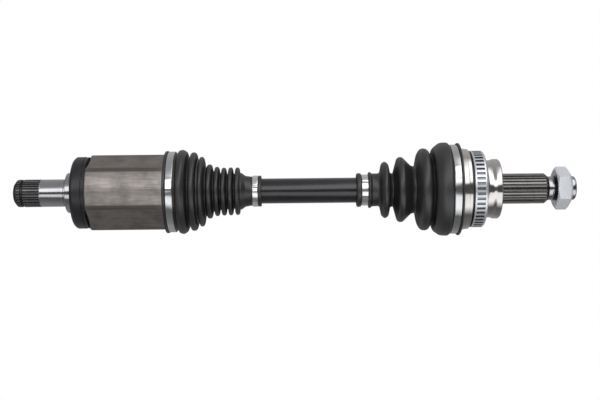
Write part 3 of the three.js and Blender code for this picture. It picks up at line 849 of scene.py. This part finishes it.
def bevel_edges(piece, width):
    modifier = piece.modifiers.new("edges", "BEVEL")
    modifier.width = width * MM
    modifier.segments = 3
    modifier.limit_method = "ANGLE"
    modifier.angle_limit = math.radians(28)
    apply_modifiers(piece)
    piece.data.shade_smooth()
    piece.data.set_sharp_from_angle(angle=math.radians(30))


def build_hub_nut():
    """A hexagon with its corners turned off at both ends, bored and countersunk. Its thread is left out."""
    x0, x1, corner = span("hub_nut")
    x0 -= 1.7  # the nut stands a little nearer the spline than its CAD node
    x1 -= 1.9
    bore_radius = 12.15
    hexagon = TURN / 12 + even_angles(6)
    nut = skin("hub_nut_zinc", [(x0, 0), (x0, corner), (x1, corner), (x1, 0)], hexagon)
    cones = [(x0, 0, 0), (x0, 17.4, 0.4), (x0 + 1.7, corner + 0.2, 0.5), (x1 - 4.3, corner + 0.2, 0.6),
             (x1 - 0.7, 15.2, 0.5), (x1, 13.6, 0.3), (x1, 0, 0)]
    cut(nut, lathe("nut_cones", cones, closed=False), "INTERSECT")
    bore = [(x0 - 1, 0, 0), (x0 - 1, 17.6, 0), (x0 + 3.0, bore_radius, 0), (x1 - 1.6, bore_radius, 0),
            (x1 + 1, 14.2, 0), (x1 + 1, 0, 0)]
    cut(nut, lathe("nut_bore", bore, closed=False), "DIFFERENCE")
    bevel_edges(nut, width=0.35)
    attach(nut, "hub_nut")
    nut.data.materials.clear()
    dress(nut, "hub_nut", "zinc_plate", (pale_zinc, TO_THE_END))


# ---------- studio ----------

WHITE = (1.0, 1.0, 1.0)


def level(elevation):
    """The place in a ramp over the sky of an elevation in degrees: 0 is straight down, 1 straight up."""
    return 0.5 + 0.5 * math.sin(math.radians(elevation))


def white_to_camera(g, colour):
    """The colour lights the scene, and the camera sees plain white."""
    return g.mix(g.add("LightPath", out=0), colour, WHITE)


def build_world():
    """Soft boxes over the front and the back, dim ends, and a white background.

    The front box slopes up towards +X, so its reflection slants along the axle.
    """
    world = bpy.data.worlds.new("studio")
    bpy.context.scene.world = world
    g = Graph(world)
    x, y, z = g.parts(g.add("TexCoord", out=0))
    height = g.math("MULTIPLY_ADD", z, 0.5, 0.5)
    front_height = g.math("MULTIPLY_ADD", g.math("MULTIPLY", z, g.math("SUBTRACT", 1.0, x)), 0.5, 0.5)
    front = g.ramp(front_height, [(0.0, 0.2), (level(-14), 0.05), (level(9), 0.08), (level(14), 1.8),
                                  (level(40), 2.0), (level(54), 0.55), (level(80), 0.4), (1.0, 0.38)])
    back = g.ramp(height, [(0.0, 0.2), (level(0), 0.14), (level(10), 0.2), (level(24), 0.5),
                           (level(60), 0.44), (1.0, 0.38)])
    facing = g.ramp(g.math("MULTIPLY_ADD", y, 0.5, 0.5), [(0.42, 0.0), (0.58, 1.0)])
    ends = g.ramp(g.math("ABSOLUTE", x), [(0.5, 0.0), (0.86, 0.8)])
    light = g.mix(ends, g.mix(facing, front, back), (0.14, 0.14, 0.145))
    g.finish("OutputWorld", g.add("Background", Color=white_to_camera(g, light), Strength=1.0))


def build_floor(height):
    """A floor that glows in bands along the axle, a little askew. It lights the underside."""
    size = 6.0
    corners = [(-size, -size, height), (size, -size, height), (size, size, height), (-size, size, height)]
    mesh = bpy.data.meshes.new("floor")
    mesh.from_pydata(corners, [], [(0, 1, 2, 3)])
    floor = bpy.data.objects.new("floor", mesh)
    bpy.context.scene.collection.objects.link(floor)
    material = bpy.data.materials.new("pale_floor")
    g = Graph(material)
    x, y, _ = g.parts(g.place())
    skewed = g.math("MULTIPLY_ADD", x, -0.42, y)
    band = g.ramp(g.math("MULTIPLY_ADD", skewed, 0.25, 0.5),
                  [(0.245, 0.06), (0.262, 1.2), (0.428, 1.35), (0.46, 0.12), (0.5, 0.2), (0.535, 0.33),
                   (0.62, 0.36), (0.8, 0.12)])
    ends = g.ramp(g.math("ABSOLUTE", x), [(0.5, 0.0), (0.9, 0.85)])
    light = g.mix(ends, band, (0.12, 0.12, 0.12))
    g.finish("OutputMaterial", g.add("Emission", Color=white_to_camera(g, light), Strength=1.0))
    material.cycles.emission_sampling = "NONE"
    mesh.materials.append(material)


def build_camera():
    """A 60 mm lens square to the axle, a little below it and rolled by about half a degree."""
    distance, right, below = 0.967, 5 * MM, 9 * MM
    roll = math.radians(0.57)
    camera = bpy.data.objects.new("camera", bpy.data.cameras.new("camera"))
    camera.data.lens = 60
    camera.data.sensor_width = 36
    camera.data.clip_start = 0.05
    camera.location = (right, -distance, -below)
    camera.rotation_euler = (math.radians(90), roll, 0)
    bpy.context.scene.collection.objects.link(camera)
    bpy.context.scene.camera = camera


# ---------- the scene ----------

build_inner_housing()
build_snap_ring()
build_dust_ring()
build_inner_boot()
build_outer_boot()
build_clamp("inner_boot_big_clamp", "inner_housing", -60, 28, strip, step_up=0.75)
build_clamp("inner_boot_small_clamp", "shaft", -52, 26, pale_strip, step_up=0.55)
build_clamp("outer_boot_small_clamp", "shaft", -30, 48, pale_strip, step_up=0.55)
build_clamp("outer_boot_big_clamp", "outer_housing", -44, 40, strip, step_up=0.75)
build_bar()
build_outer_housing()
build_abs_ring()
build_hub_nut()

for number in (1, 2, 3):
    recolour(polished, f"roller_{number}", f"needle_ring_{number}")
    recolour(spring, f"roller_clip_{number}")
for number in range(1, 7):
    recolour(polished, f"ball_{number}")
recolour(polished, "tripod_spider", "ball_inner_race")
recolour(dark_steel, "ball_cage")
recolour(spring, "spider_snap_ring", "race_snap_ring")

build_world()
build_floor(height=-0.22)
build_camera()
bpy.context.scene.view_settings.view_transform = "Standard"
